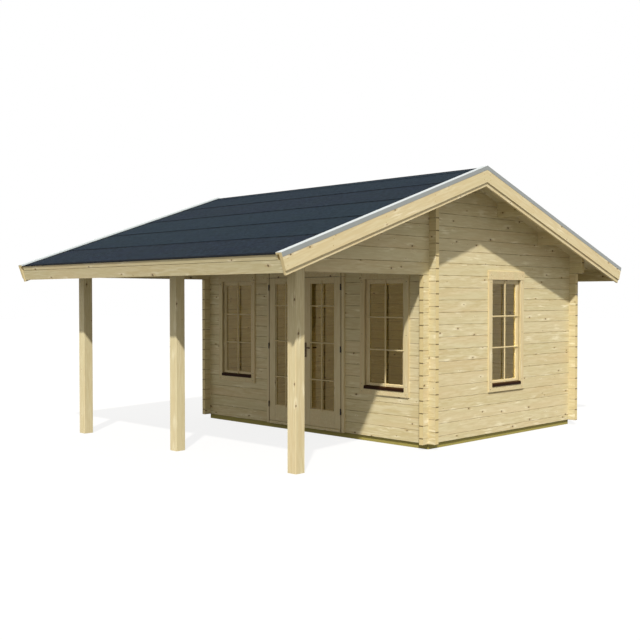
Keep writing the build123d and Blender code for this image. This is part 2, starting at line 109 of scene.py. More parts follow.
# Door leaves: glass between stiles and rails
door_panes_low, door_panes_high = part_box("right_door_glass")
door_glass_inner = door_panes_low.x + pane_bite
door_glass_outer = door_panes_high.x - pane_bite
door_glass_middle = (door_glass_inner + door_glass_outer) / 2
door_glass_half = (door_glass_outer - door_glass_inner) / 2
door_glass_low = door_panes_low.z + pane_bite
door_glass_high = door_panes_high.z - pane_bite
door_pane_y = centre("right_door_glass").y
door_pane_sheet = 0.005
door_leaf_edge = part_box("right_door_leaf")[1].x
door_leaf_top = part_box("right_door_leaf")[1].z
door_leaf_face = door_pane_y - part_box("right_door_leaf")[0].y
door_bar_heights = (0.691, 1.158, 1.622)
door_bar_lap = 0.018
door_jamb_middle = 0.6825
door_jamb_half = 0.0227
door_gap = 0.005

# Bars and beads of the glazing
bar_width = 0.017
bar_depth = 0.010
bar_bevel = 0.003
bead_width = 0.010
bead_depth = 0.0125
bead_shoulder_share = 0.35
bead_turns = (30, 60, 90)
glazing_gap = 0.0003

# Fixings: a head's profile is its radius and its rise, as shares, from the rim to the driver socket
screw_radius = 0.0045
screw_rise = 0.0012
screw_sides = 12
screw_profile_shares = ((1.0, -0.5), (1.0, 0.35), (0.72, 1.0), (0.36, 1.0), (0.26, 0.1))
casing_screw_foot = 0.06
casing_screw_head = 0.035
casing_screw_heights = (casing_low + casing_screw_foot, casing_middle, casing_high - casing_screw_head)
barge_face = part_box("right_barge_boards")[1].x
barge_reach = abs(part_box("right_barge_boards")[0].y)
barge_screw_first = 0.06
barge_screw_shares = (0.30, 0.55, 0.79, 0.975)
barge_screw_depths = (0.075, 0.135)

# Photograph's camera
camera_place = (8.609, -8.846, 1.730)
camera_turn = math.radians(44.9707)
camera_dip = math.radians(1.3898)
camera_lens = 52.708

# Light: a key lamp from the side that the photograph's shadows give, and a soft sky
key_direction = Vector((0.473, -0.542, 0.696))
key_strength = 4.0
key_softness = math.radians(1.6)
key_colour = "#fffaf2"
sky_strength = 0.58
sky_colour = "#fbf6ec"
floor_half = 60.0
floor_drop = 0.001
floor_paper_share = 0.15


def linear(colour):
    """An sRGB hex colour as the linear numbers that a shader takes."""
    shares = [int(colour[place:place + 2], 16) / 255 for place in (1, 3, 5)]
    return [s / 12.92 if s <= 0.04045 else ((s + 0.055) / 1.055) ** 2.4 for s in shares] + [1.0]


def node(tree, kind, inputs=(), **settings):
    """Adds one node. An input is a number, a colour, a socket, or a node whose first output is meant."""
    new = tree.nodes.new("ShaderNode" + kind)
    for setting, value in settings.items():
        setattr(new, setting, value)
    for socket, value in inputs.items() if isinstance(inputs, dict) else enumerate(inputs):
        if isinstance(value, bpy.types.Node):
            value = value.outputs[0]
        if isinstance(value, bpy.types.NodeSocket):
            tree.links.new(value, new.inputs[socket])
        else:
            new.inputs[socket].default_value = value
    return new


def maths(tree, operation, *values):
    """One sum of numbers."""
    return node(tree, "Math", values, operation=operation)


def vectors(tree, operation, *values):
    """One sum of vectors."""
    return node(tree, "VectorMath", values, operation=operation)


def distance(tree, place, axis):
    """How far a place lies along an axis."""
    return vectors(tree, "DOT_PRODUCT", place, axis).outputs["Value"]


def mapped(tree, value, start=(0.0, 1.0), end=(0.0, 1.0), curve="LINEAR"):
    """A value taken from one range to another, and held at its ends."""
    return node(tree, "MapRange", {
        "Value": value, "From Min": start[0], "From Max": start[1], "To Min": end[0], "To Max": end[1],
    }, interpolation_type=curve)


def blended(tree, factor, first, second, way="MIX"):
    """Two colours, mixed by a factor."""
    return node(tree, "Mix", {0: factor, 6: first, 7: second}, data_type="RGBA", blend_type=way).outputs[2]


def layered(tree, colour, layers):
    """A colour with tones laid over it: each has the place where it shows, and how strong it gets."""
    colour = linear(colour)
    for tone, amount, most in layers:
        factor = maths(tree, "MULTIPLY", amount, most)
        colour = blended(tree, factor, colour, linear(tone))
    return colour


def surface(name, finish):
    """A material with one shader, whose sockets take the given constants."""
    material = bpy.data.materials.new(name)
    material.use_nodes = True
    shader = material.node_tree.nodes["Principled BSDF"]
    for socket, value in finish.items():
        shader.inputs[socket].default_value = value
    return material, material.node_tree, shader


def finished(material, tree, shader, colour, rough, height=None, strength=0.0, rise=0.0):
    """The material, once its shader has its colour, its roughness and, from a height, its relief."""
    tree.links.new(colour, shader.inputs["Base Color"])
    tree.links.new(rough.outputs[0], shader.inputs["Roughness"])
    if height:
        relief = node(tree, "Bump", {"Strength": strength, "Distance": rise, "Height": height})
        tree.links.new(relief.outputs[0], shader.inputs["Normal"])
    return material


# Softwood: one way of growing, several colours
# The joint and groove tones of each palette are painted shade for the gaps and grooves between pieces
planed_spruce = {
    "early": "#d6cda3", "late": "#beab7a", "streak": "#c7b789", "warm": "#d7c198", "straw": "#cbc49a",
    "pale": "#e2dab8", "flare": "#efe7c8", "collar": "#b79d6c", "knot": "#7f6a45", "rim": "#534226",
    "end": "#d8c691", "joint_shade": "#86704a", "groove_shade": "#54411f",
}
sanded_spruce = {
    "early": "#d9cca1", "late": "#c8b384", "streak": "#cdba8d", "warm": "#d8c096", "straw": "#cdc499",
    "pale": "#e1d7b3", "flare": "#e9debd", "collar": "#b79f70", "knot": "#806a4a", "rim": "#5a4830",
    "end": "#d3c190", "joint_shade": "#6b5634", "groove_shade": "#54411f",
}
treated_pine = {
    "early": "#b9ae62", "late": "#968b43", "streak": "#a0964c", "warm": "#ab9b4e", "straw": "#b5ac5b",
    "pale": "#c5bb74", "flare": "#c5bb74", "collar": "#87793b", "knot": "#66582a", "rim": "#4b4120",
    "end": "#9c924d", "joint_shade": "#665f2e", "groove_shade": "#443f1d",
}
stained_spruce = {
    "early": "#40270d", "late": "#291705", "streak": "#331d08", "warm": "#44290e", "straw": "#39230b",
    "pale": "#482e13", "flare": "#442a10", "collar": "#20100a", "knot": "#180a05", "rim": "#120804",
    "end": "#221008", "joint_shade": "#180b06", "groove_shade": "#120804",
}

# Runs of the grain: the directions along it, across the face and into the wood
on_x = ((1, 0, 0), (0, 0, 1), (0, 1, 0))
on_y = ((0, 1, 0), (0, 0, 1), (1, 0, 0))
on_z = ((0, 0, 1), (1, 1, 0), (1, -1, 0))
beam_run = ((1, 0, 0), (0, 1, 1), (0, 1, -1))
floor_run = ((1, 0, 0), (0, 1, 0), (0, 0, 1))
down_slope = (0, math.cos(roof_slope), math.sin(roof_slope))
into_slope = (0, -math.sin(roof_slope), math.cos(roof_slope))
verge_run = (down_slope, into_slope, (1, 0, 0))
roof_run = (down_slope, (1, 0, 0), into_slope)
rail_run = ((1, 1, 0), (0, 0, 1), (1, -1, 0))

# Growth: each tree has its own stretch of the pattern, and its pith lies behind the face
uncut_width = 1000.0
tree_shift = 40.0
pith_aside = 0.08
pith_depth = 0.05
pith_spread = 0.08
ring_spacing = 0.008
ring_sharpness = 2.5
ring_wobble = 0.07
ring_wobble_scales = (0.9, 5.0, 5.0)
ring_bend = 0.012

# Cloudy marks: their length and width, and the part of the cloud that shows
grain_marks = (
    ("blush", 1.8, 0.20, 0.42, 0.66), ("straw", 1.5, 0.14, 0.46, 0.66), ("streak", 0.9, 0.036, 0.40, 0.64),
    ("gleam", 0.20, 0.020, 0.46, 0.62), ("fleck", 0.13, 0.014, 0.44, 0.62), ("fibre", 0.11, 0.004, 0.2, 0.8),
)

# Tones of the grain: the mark that brings each, and how strong it gets
grain_tones = (
    ("late", "ring", 0.4), ("streak", "streak", 0.55), ("late", "fibre", 0.2), ("late", "fleck", 0.38),
    ("pale", "gleam", 0.6), ("warm", "blush", 0.4), ("straw", "straw", 0.4),
    ("warm", "warm tree", 0.15), ("pale", "pale tree", 0.25),
)

# Knots: how far apart and how wide they are, and their zones in radii, drawn out along the grain
branch_knots = {"gap": 0.32, "least": 0.006, "most": 0.0125, "often": 1.1, "dark": 1.0}
pin_knots = {"gap": 0.21, "least": 0.0025, "most": 0.0045, "often": 0.5, "dark": 0.8}
pale_flares = {"gap": 0.30, "least": 0.007, "most": 0.013, "often": 0.9, "dark": 0.0}
round_stretch = 0.8
long_stretch = 0.35
flare_zone = (0.6, 4.5)
dark_zones = (
    ("collar", long_stretch, (0.8, 2.2), 0.45), ("rim", round_stretch, (0.8, 1.2), 0.85),
    ("knot", round_stretch, (0.2, 0.85), 0.7),
)
knot_uneven_scales = (22.0, 45.0, 45.0)
knot_unevenness = (0.030, 0.012, 0.0)

# Joints between logs, with a dark line of painted shade in their groove, the grooves between their ends,
# darkened further with painted shade, and the cut ends themselves
joint_fade = 0.001
joint_least = 0.3
joint_dark = 0.8
groove_fade = 0.002
groove_dark = 0.85
end_facing = (0.8, 0.9)
end_strength = 0.85
shade_powers = (1.0, 1.2, 1.5)


def knots(tree, place, uneven, gleam, knot_share):
    """Cut branches, dark at the rim, in a tan collar, with pale flares where the grain bends round them.
    Gives their layers of tone, and how far they push the year rings aside."""
    layers = []
    bend = 0.0
    for kind in (pale_flares, branch_knots, pin_knots):
        cells = node(tree, "TexVoronoi", {"Vector": place, "Scale": 1 / kind["gap"]}, voronoi_dimensions="2D")
        fate = node(tree, "SeparateColor", (cells.outputs["Color"],))
        radius = mapped(tree, fate.outputs[0], end=(kind["least"], kind["most"]))
        there = maths(tree, "LESS_THAN", fate.outputs[1], knot_share * kind["often"])
        off = vectors(tree, "SUBTRACT", place, cells.outputs["Position"])
        off = vectors(tree, "ADD", off, uneven)
        reaches = {}
        for stretch in (round_stretch, long_stretch):
            drawn = vectors(tree, "MULTIPLY", off, (stretch, 1.0, 0.0))
            reach = vectors(tree, "LENGTH", drawn).outputs["Value"]
            reaches[stretch] = maths(tree, "DIVIDE", reach, radius)
        flare = mapped(tree, reaches[long_stretch], flare_zone, (there, 0.0), "SMOOTHSTEP")
        bend = maths(tree, "MULTIPLY_ADD", flare, ring_bend, bend)
        layers.append(("flare", maths(tree, "MULTIPLY", flare, gleam), 1.0))
        for tone, stretch, zone, strength in dark_zones:
            dark = mapped(tree, reaches[stretch], zone, (there, 0.0), "SMOOTHSTEP")
            layers.append((tone, dark, strength * kind["dark"]))
    return layers, bend


def year_rings(tree, grain, local, depth, chance, bend):
    """Rings about a pith: pale spring wood that darkens to a thin summer line."""
    slow = vectors(tree, "MULTIPLY", grain, ring_wobble_scales)
    wobble = node(tree, "TexNoise", {"Vector": slow, "Scale": 1.0, "Detail": 1.5})
    aside = maths(tree, "MULTIPLY_ADD", chance.outputs[1], 2 * pith_aside, -pith_aside)
    aside = maths(tree, "ADD", local, aside)
    inward = maths(tree, "MULTIPLY_ADD", chance.outputs[2], pith_spread, pith_depth)
    inward = maths(tree, "ADD", depth, inward)
    from_pith = node(tree, "CombineXYZ", (0.0, aside, inward))
    place = vectors(tree, "LENGTH", from_pith).outputs["Value"]
    place = maths(tree, "MULTIPLY_ADD", wobble, ring_wobble, place)
    place = maths(tree, "ADD", place, bend)
    ring = maths(tree, "DIVIDE", place, ring_spacing)
    ring = maths(tree, "FRACT", ring)
    return maths(tree, "POWER", ring, ring_sharpness)


def softwood(name, colours, run, origin=(0, 0, 0), folded=False, step=None, turned=None, seed=0.0,
             knot_share=0.6, roughness=0.6, shine=0.35, joints=False, seams=(), shade=1.0):
    """Sawn softwood in the round: year rings about a pith, so that faces show long figure and ends show arcs.
    Rings are 2 to 4 mm wide on the real wood, and are drawn 8 mm wide so that they show.
    run gives the directions along the grain, across the face and into the wood.
    step is the width of one log. folded wood is the same on both sides of the origin.
    turned is the stretch (axis, middle, half length) where the grain runs the other way, as on a rail.
    seams are the places (axis, middle, half width, amount) where pieces meet, and a dark line of painted
    shade is laid in their gap.
    shade is under 1 on pieces that are painted darker all over, as painted shade, the blue most and the red
    least."""
    material, tree, shader = surface(name, {"IOR": 1.52, "Specular IOR Level": shine})
    spot = node(tree, "TexCoord")
    place = vectors(tree, "SUBTRACT", spot.outputs["Object"], origin)
    if folded:
        place = vectors(tree, "ABSOLUTE", place)
    along, across, depth = [distance(tree, place, axis) for axis in run]
    if turned:
        axis, middle, half = turned
        inside = maths(tree, "COMPARE", distance(tree, place, axis), middle, half)
        first, second = along, across
        along = node(tree, "Mix", {0: inside, 2: first, 3: second})
        across = node(tree, "Mix", {0: inside, 2: second, 3: first})

    # Each log is its own tree
    local = across
    number = maths(tree, "DIVIDE", across, step or uncut_width)
    number = maths(tree, "FLOOR", number)
    if step:
        middle = maths(tree, "MULTIPLY_ADD", number, step, step / 2)
        local = maths(tree, "SUBTRACT", across, middle)
    pick = maths(tree, "ADD", number, seed)
    chance = node(tree, "TexWhiteNoise", {"W": pick}, noise_dimensions="1D")
    chance = node(tree, "SeparateColor", (chance.outputs["Color"],))
    shift = maths(tree, "MULTIPLY_ADD", chance.outputs[0], tree_shift, along)
    grain = node(tree, "CombineXYZ", (shift, across, depth))

    # Marks, knots and rings
    marks = {"warm tree": chance.outputs[1], "pale tree": chance.outputs[2]}
    for mark, length, width, low, high in grain_marks:
        drawn = vectors(tree, "MULTIPLY", grain, (1 / length, 1 / width, 1 / width))
        cloud = node(tree, "TexNoise", {"Vector": drawn, "Scale": 1.0, "Detail": 2.0})
        marks[mark] = mapped(tree, cloud, (low, high))
    uneven = vectors(tree, "MULTIPLY", grain, knot_uneven_scales)
    uneven = node(tree, "TexNoise", {"Vector": uneven, "Scale": 1.0, "Detail": 1.0})
    uneven = vectors(tree, "SUBTRACT", uneven.outputs["Color"], (0.5, 0.5, 0.5))
    uneven = vectors(tree, "MULTIPLY", uneven, knot_unevenness)
    knot_place = node(tree, "CombineXYZ", (shift, across, 0.0))
    knot_layers, bend = knots(tree, knot_place, uneven, marks["gleam"], knot_share)
    marks["ring"] = year_rings(tree, grain, local, depth, chance, bend)
    layers = [(tone, marks[mark], most) for tone, mark, most in grain_tones] + knot_layers

    # Joints and the grooves between log ends, darkened as painted shade; cut ends; and seams, darkened as
    # painted shade in their gaps
    if joints:
        rim = maths(tree, "ABSOLUTE", local)
        edge = step / 2 - log_joint
        broken = mapped(tree, marks["fleck"], end=(joint_least, 1.0))
        line = mapped(tree, rim, (edge, edge + joint_fade), (0.0, broken))
        layers.append(("joint_shade", line, joint_dark))
    if not turned:
        cut = maths(tree, "ABSOLUTE", distance(tree, spot.outputs["Normal"], run[0]))
        cut = mapped(tree, cut, end_facing)
        layers.append(("end", cut, end_strength))
        if joints:
            edge = step / 2 - end_joint
            line = mapped(tree, rim, (edge, edge + groove_fade), (0.0, cut))
            layers.append(("groove_shade", line, groove_dark))
    for axis, middle, half, dark in seams:
        seam = maths(tree, "COMPARE", distance(tree, place, axis), middle, half)
        layers.append(("joint_shade", seam, dark))
    colour = layered(tree, colours["early"], [(colours[tone], amount, most) for tone, amount, most in layers])
    # Painted shade: the whole piece darkened, the blue most and the red least
    if shade < 1:
        darker = [shade ** power for power in shade_powers] + [1.0]
        colour = blended(tree, 1.0, colour, darker, "MULTIPLY")
    rough = mapped(tree, marks["fibre"], end=(roughness - 0.08, roughness + 0.1))
    height = maths(tree, "MULTIPLY_ADD", marks["ring"], 0.4, marks["fibre"])
    return finished(material, tree, shader, colour, rough, height, strength=0.3, rise=0.0006)


def mineral_felt():
    """Bitumen felt strewn with slate chips: blue-black, dull and speckled, with a dark line below each lap,
    partly a bead of bitumen and partly painted shade.
    Chips are 1 to 2 mm, and are drawn 7 mm wide so that they show. Its cut edges and the ridge are painted
    near black in bands of painted shade, drawn wide so that they show. Its cut edges are dipped black, in
    bands that are drawn wider than real ones so that they show.
    Chips shade each other, so the felt hardly shines, even seen from low down."""
    material, tree, shader = surface("slate_strewn_bitumen_felt", {"IOR": 1.5, "Specular IOR Level": 0.08})
    spot = node(tree, "TexCoord").outputs["Object"]
    place = vectors(tree, "SUBTRACT", spot, (0, 0, ridge_height))
    place = vectors(tree, "ABSOLUTE", place)
    aside = node(tree, "SeparateXYZ", (place,)).outputs[0]
    way = maths(tree, "SUBTRACT", distance(tree, place, down_slope), felt_lane_start)
    lane = maths(tree, "DIVIDE", way, felt_lane)
    lane_number = maths(tree, "FLOOR", lane)
    lane_chance = node(tree, "TexWhiteNoise", {"W": lane_number}, noise_dimensions="1D").outputs["Value"]
    below_lap = maths(tree, "FRACT", lane)
    below_lap = maths(tree, "MULTIPLY", below_lap, felt_lane)
    rolled = vectors(tree, "MULTIPLY", spot, (18.0, 12.0, 12.0))
    clouds = node(tree, "TexNoise", {"Vector": rolled, "Scale": 1.6, "Detail": 5.0, "Roughness": 0.65})
    clouds = mapped(tree, clouds, (0.35, 0.65))
    patches = node(tree, "TexNoise", {"Vector": spot, "Scale": 3.0, "Detail": 4.0})
    patches = mapped(tree, patches, (0.38, 0.66))
    chips = node(tree, "TexVoronoi", {"Vector": spot, "Scale": 1 / felt_chip})
    chip = node(tree, "SeparateColor", (chips.outputs["Color"],))

    # Near-black lines: bitumen and painted shade, uneven, below the laps; painted shade, even, on the ridge
    # and along the cut edges
    bead = maths(tree, "LESS_THAN", below_lap, felt_lap_bead_and_shade)
    bead = maths(tree, "MULTIPLY", bead, mapped(tree, clouds, end=(0.35, 0.95)))
    for edge in (
        maths(tree, "LESS_THAN", way, felt_ridge_shade),
        maths(tree, "GREATER_THAN", aside, felt_half - felt_edge_shade),
        maths(tree, "GREATER_THAN", way, felt_reach - felt_edge_shade),
    ):
        bead = maths(tree, "MAXIMUM", bead, edge)
    colour = layered(tree, "#232f3b", (
        ("#2b3a47", chip.outputs[0], 0.4), ("#0d161d", chip.outputs[1], 0.35),
        ("#1f283b", patches, 0.55), ("#091016", clouds, 0.75),
        ("#1c2f38", lane_chance, 0.3), ("#02060b", bead, 0.9),
    ))
    rough = mapped(tree, chip.outputs[2], end=(0.85, 1.0))
    return finished(material, tree, shader, colour, rough, chip.outputs[0], strength=0.5, rise=0.002)


def coated_aluminium():
    """Folded aluminium sheet with a pale baked coat: even and satin, with faint rolling lines along it.
    The more a fold faces outwards, the greyer it is painted, and the more it faces inwards, the paler:
    painted shade on outward folds and painted highlight on inward folds."""
    material, tree, shader = surface("pale_coated_aluminium", {"IOR": 1.5})
    spot = node(tree, "TexCoord")
    lines = vectors(tree, "MULTIPLY", spot.outputs["Object"], (240.0, 2.0, 240.0))
    rolling = node(tree, "TexNoise", {"Vector": lines, "Scale": 1.0, "Detail": 2.0})
    dust = node(tree, "TexNoise", {"Vector": spot.outputs["Object"], "Scale": 3.0, "Detail": 3.0})
    # Painted shade and painted highlight: the coat's colour follows which way a fold faces
    side = node(tree, "SeparateXYZ", (spot.outputs["Object"],)).outputs[0]
    side = maths(tree, "SIGN", side)
    outward = node(tree, "SeparateXYZ", (spot.outputs["Normal"],)).outputs[0]
    outward = maths(tree, "MULTIPLY", outward, side)
    outward = mapped(tree, outward, (-0.7, 0.7))
    inner = blended(tree, dust, linear("#dde8ee"), linear("#d4dfe5"))
    outer = blended(tree, dust, linear("#979d9e"), linear("#8c9293"))
    colour = blended(tree, outward, inner, outer)
    rough = mapped(tree, rolling, end=(0.3, 0.46))
    return finished(material, tree, shader, colour, rough, rolling, strength=0.1, rise=0.0004)


def lacquered_steel(name, light, deep, roughness):
    """Steel under a baked lacquer: satin, with the faint orange peel of the melted coat."""
    material, tree, shader = surface(name, {"IOR": 1.5, "Specular IOR Level": 0.3})
    spot = node(tree, "TexCoord").outputs["Object"]
    peel = node(tree, "TexNoise", {"Vector": spot, "Scale": 400.0, "Detail": 2.0})
    colour = blended(tree, peel, linear(light), linear(deep))
    rough = mapped(tree, peel, end=(roughness - 0.07, roughness + 0.07))
    return finished(material, tree, shader, colour, rough, peel, strength=0.15, rise=0.0003)


def float_glass():
    """Clear float glass: smooth, a little brown in its depth, with a thin film of dust in clouds.
    Its reflections are warm in the picture, so the surface has a straw tint."""
    material, tree, shader = surface("clear_float_glass", {
        "IOR": 1.5, "Transmission Weight": 1.0, "Specular Tint": linear("#ffdd98"),
    })
    spot = node(tree, "TexCoord").outputs["Object"]
    film = node(tree, "TexNoise", {"Vector": spot, "Scale": 6.0, "Detail": 3.0})
    colour = blended(tree, film, linear("#ece0ae"), linear("#e4d6a0"))
    rough = mapped(tree, film, end=(0.0, 0.03))
    return finished(material, tree, shader, colour, rough)


# Finishes of the boards, bars and screws that are made below, and of the iron fittings
# The roof boards get painted shade: darkened all over
spruce_boards = softwood(
    "spruce_roof_boards_painted_shade", planed_spruce, roof_run, (0, 0, ridge_height), folded=True,
    step=roof_board_width, seed=5.0, shade=0.95)
spruce_floor = softwood(
    "planed_spruce_floor_boards", planed_spruce, floor_run, (0, 0, base_top),
    step=floor_board_width, seed=9.0)
spruce_joinery = softwood(
    "sanded_spruce_bars", sanded_spruce, rail_run, folded=True, seed=2.0, knot_share=0.0, shine=0.2)
dark_iron = lacquered_steel("dark_brown_lacquered_steel", "#2c2217", "#1c150d", 0.5)
bronze = lacquered_steel("bronze_lacquered_steel", "#6a5335", "#54411f", 0.42)
zinc = lacquered_steel("yellow_passivated_zinc", "#b79a5e", "#a08750", 0.4)

# Seams, each a dark line of painted shade in a gap: round the sashes, round the leaves in their frame, and
# where the leaves meet and their rails butt
seam_half = 0.004
seam_dark = 0.45
hinge_gap_dark = 0.8
meeting_dark = 0.7
rail_joint_dark = 0.5
sash_edge = window_glass_half + sash_rail
sash_seams = [(axis, middle, seam_half, seam_dark) for axis, middle in (
    ((1, 0, 0), window_front_x + sash_edge), ((1, 0, 0), window_front_x - sash_edge),
    ((0, 1, 0), window_gable_y + sash_edge), ((0, 1, 0), window_gable_y - sash_edge),
    ((0, 0, 1), window_glass_low - sash_rail), ((0, 0, 1), window_glass_high + sash_rail),
)]
door_seams = [
    ((1, 0, 0), door_leaf_edge + door_gap / 2, 2 * seam_half, hinge_gap_dark),
    ((0, 0, 1), door_leaf_top + door_gap / 2, seam_half, seam_dark),
]
leaf_seams = [
    ((1, 0, 0), 0.0, 2 * seam_half, meeting_dark),
    ((1, 0, 0), door_glass_inner, seam_half / 4, rail_joint_dark),
    ((1, 0, 0), door_glass_outer, seam_half / 4, rail_joint_dark),
]

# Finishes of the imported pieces
front_origin = (0, front_middle, base_top)
back_origin = (0, back_middle, base_top)
right_origin = (wall_middle, 0, base_top - log_height / 2)
left_origin = (-wall_middle, 0, base_top - log_height / 2)
post_origin = (-post_spacing / 2, post_middle_y, 0)
finishes = [
    (softwood("planed_spruce_front_logs", planed_spruce, on_x, front_origin, step=log_height, seed=11.0,
              joints=True),
     ("front_wall_right", "front_wall_left", "front_wall_upper")),
    (softwood("planed_spruce_back_logs", planed_spruce, on_x, back_origin, step=log_height, seed=31.0,
              joints=True),
     ("back_wall",)),
    (softwood("planed_spruce_right_logs", planed_spruce, on_y, right_origin, step=log_height, seed=51.0,
              joints=True),
     ("right_gable_lower", "right_gable_upper")),
    (softwood("planed_spruce_left_logs", planed_spruce, on_y, left_origin, step=log_height, seed=71.0,
              joints=True),
     ("left_gable_lower", "left_gable_upper")),
    (softwood("planed_spruce_posts", planed_spruce, on_z, post_origin, step=post_spacing, seed=3.0,
              knot_share=0.3),
     ("left_post", "middle_post", "right_post")),
    (softwood("planed_spruce_beams", planed_spruce, beam_run, seed=91.0, knot_share=0.8),
     ("canopy_beam", "ridge_purlin", "front_purlins", "back_purlins")),
    (softwood("planed_spruce_barges", sanded_spruce, verge_run, (0, 0, ridge_height), folded=True, seed=17.0),
     ("right_barge_boards", "left_barge_boards", "right_verge_boards", "left_verge_boards")),
    # The fascia gets painted shade: darkened all over
    (softwood("spruce_fascia_painted_shade", planed_spruce, on_x, seed=23.0, knot_share=0.8, shade=0.95),
     ("front_fascia", "back_fascia")),
    (softwood("sanded_spruce_door_leaves", sanded_spruce, on_z, folded=True, seed=29.0, knot_share=0.3,
              roughness=0.5, turned=((1, 0, 0), door_glass_middle, door_glass_half),
              seams=door_seams + leaf_seams),
     ("right_door_leaf", "left_door_leaf")),
    (softwood("sanded_spruce_door_frame", sanded_spruce, rail_run, folded=True, seed=37.0, knot_share=0.3,
              roughness=0.5, turned=((1, 0, 0), door_jamb_middle, door_jamb_half), seams=door_seams),
     ("door_frame", "threshold")),
    (softwood("sanded_spruce_window_frames", sanded_spruce, rail_run, folded=True, seed=41.0, knot_share=0.3,
              roughness=0.5, turned=((0, 0, 1), window_stile_middle, window_stile_half), seams=sash_seams),
     ("window_frames",)),
    (softwood("planed_spruce_casings", sanded_spruce, rail_run, folded=True, seed=43.0, knot_share=0.4,
              turned=((0, 0, 1), casing_middle, (casing_high - casing_low) / 2)),
     ("window_casings",)),
    (softwood("treated_pine_beams", treated_pine, rail_run, folded=True, seed=47.0, roughness=0.7),
     ("foundation_beams",)),
    (softwood("brown_stained_sills", stained_spruce, rail_run, folded=True, seed=53.0, knot_share=0.2,
              shine=0.06),
     ("window_sills",)),
    (mineral_felt(), ("front_felt", "back_felt", "ridge_felt")),
    (coated_aluminium(), ("right_verge_caps", "left_verge_caps")),
    (dark_iron, ("right_door_hinges", "left_door_hinges", "fixed_hinges")),
    (bronze, ("door_handle",)),
    (float_glass(), ("right_door_glass", "left_door_glass", "window_panes")),
]
for material, names in finishes:
    for name in names:
        nodes[name].data.materials.clear()
        nodes[name].data.materials.append(material)

# Sunlight passes the panes, as through thin glass
for name in ("right_door_glass", "left_door_glass", "window_panes"):
    nodes[name].visible_shadow = False


class Shape:
    """Points and faces of one piece, gathered from swept outlines."""

    def __init__(self):
        self.points = []
        self.faces = []

    def sweep(self, outlines, closed=False):
        """Joins outlines of equally many points: a capped bar, or a closed ring."""
        first = len(self.points)
        count = len(outlines[0])
        for outline in outlines:
            self.points.extend(outline)
        last = len(outlines) if closed else len(outlines) - 1
        for part in range(last):
            a = first + part * count
            b = first + (part + 1) % len(outlines) * count
            for place in range(count):
                after = (place + 1) % count
                self.faces.append((a + place, a + after, b + after, b + place))
        if not closed:
            self.faces.append(tuple(range(first, first + count)))
            end = first + (len(outlines) - 1) * count
            self.faces.append(tuple(range(end, end + count)))

    def made(self, name, material, body):
        """The finished piece, with its faces turned outwards, riding on a body."""
        mesh = bpy.data.meshes.new(name)
        mesh.from_pydata([tuple(point) for point in self.points], [], self.faces)
        mesh.materials.append(material)
        work = bmesh.new()
        work.from_mesh(mesh)
        bmesh.ops.recalc_face_normals(work, faces=work.faces)
        work.to_mesh(mesh)
        work.free()
        piece = bpy.data.objects.new(name, mesh)
        bpy.context.scene.collection.objects.link(piece)
        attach(piece, body)
        return piece


def board_outline(start, end):
    """Section of a roof or floor board: across, and down from its top, with bevelled lower edges."""
    a = start + board_joint / 2
    b = end - board_joint / 2
    low = roof_board_sheet
    shoulder = low - board_bevel
    return [(a, 0), (b, 0), (b, shoulder), (b - board_bevel, low), (a + board_bevel, low), (a, shoulder)]


def roof_boards(side, node_name, name):
    """Tongued boards that run from ridge to eave, side by side along the cabin."""
    low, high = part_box(node_name)
    length = max(abs(low.y), abs(high.y)) / math.cos(roof_slope)
    count = round((high.x - low.x) / roof_board_width)
    step = (high.x - low.x) / count
    shape = Shape()
    for number in range(count):
        outline = board_outline(low.x + number * step, low.x + (number + 1) * step)
        ends = []
        for at_ridge in (True, False):
            ends.append([])
            for across, depth in outline:
                way = depth * math.tan(roof_slope) if at_ridge else length
                y = way * math.cos(roof_slope) - depth * math.sin(roof_slope)
                z = high.z - way * math.sin(roof_slope) - depth * math.cos(roof_slope)
                ends[-1].append((across, side * max(y, ridge_gap), z))
        shape.sweep(ends)
    piece = shape.made(name, spruce_boards, "cabin")
    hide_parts(node_name)


def floor_boards():
    """Floor boards along the cabin, across its joists."""
    low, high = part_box("floor")
    count = round((high.y - low.y) / floor_board_width)
    step = (high.y - low.y) / count
    shape = Shape()
    for number in range(count):
        outline = board_outline(low.y + number * step, low.y + (number + 1) * step)
        shape.sweep([[(x, across, high.z - depth) for across, depth in outline] for x in (low.x, high.x)])
    piece = shape.made("floor_boards", spruce_floor, "cabin")
    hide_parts("floor")


roof_boards(-1, "front_roof_boards", "front_sarking_boards")
roof_boards(1, "back_roof_boards", "back_sarking_boards")
floor_boards()


# Glazing and casing screws are drawn on a flat wall: across, height, and out of the wall from its outer face
def front_wall(middle):
    """The front wall, round the middle of a window."""
    return lambda across, height, out: (middle + across, front_face - out, height)


def right_gable_wall(across, height, out):
    """The right gable wall, round the middle of its window."""
    return (wall_half + out, window_gable_y + across, height)


def door_leaf_wall(side):
    """A door leaf, from the meeting edges, and from the middle of its glass outwards."""
    return lambda across, height, out: (side * across, door_pane_y - out, height)


window_walls = [front_wall(-window_front_x), front_wall(window_front_x), right_gable_wall]


def glazing_bars(shape, wall, left, right, low, high, heights, back, lap):
    """A cross of bars on the outer face of a sash: one upright, with crossbars let into it.
    Outer edges are bevelled, and the ends lap on the stiles and rails."""
    half = bar_width / 2
    top = back + bar_depth
    shoulder = top - bar_bevel
    section = [
        (-half, back), (half, back), (half, shoulder), (half - bar_bevel, top), (bar_bevel - half, top),
        (-half, shoulder),
    ]
    middle = (left + right) / 2
    shape.sweep([
        [wall(middle + aside, height, out) for aside, out in section] for height in (low - lap, high + lap)
    ])
    for height in heights:
        for ends in ((left - lap, middle - half), (middle + half, right + lap)):
            shape.sweep([[wall(across, height + aside, out) for aside, out in section] for across in ends])


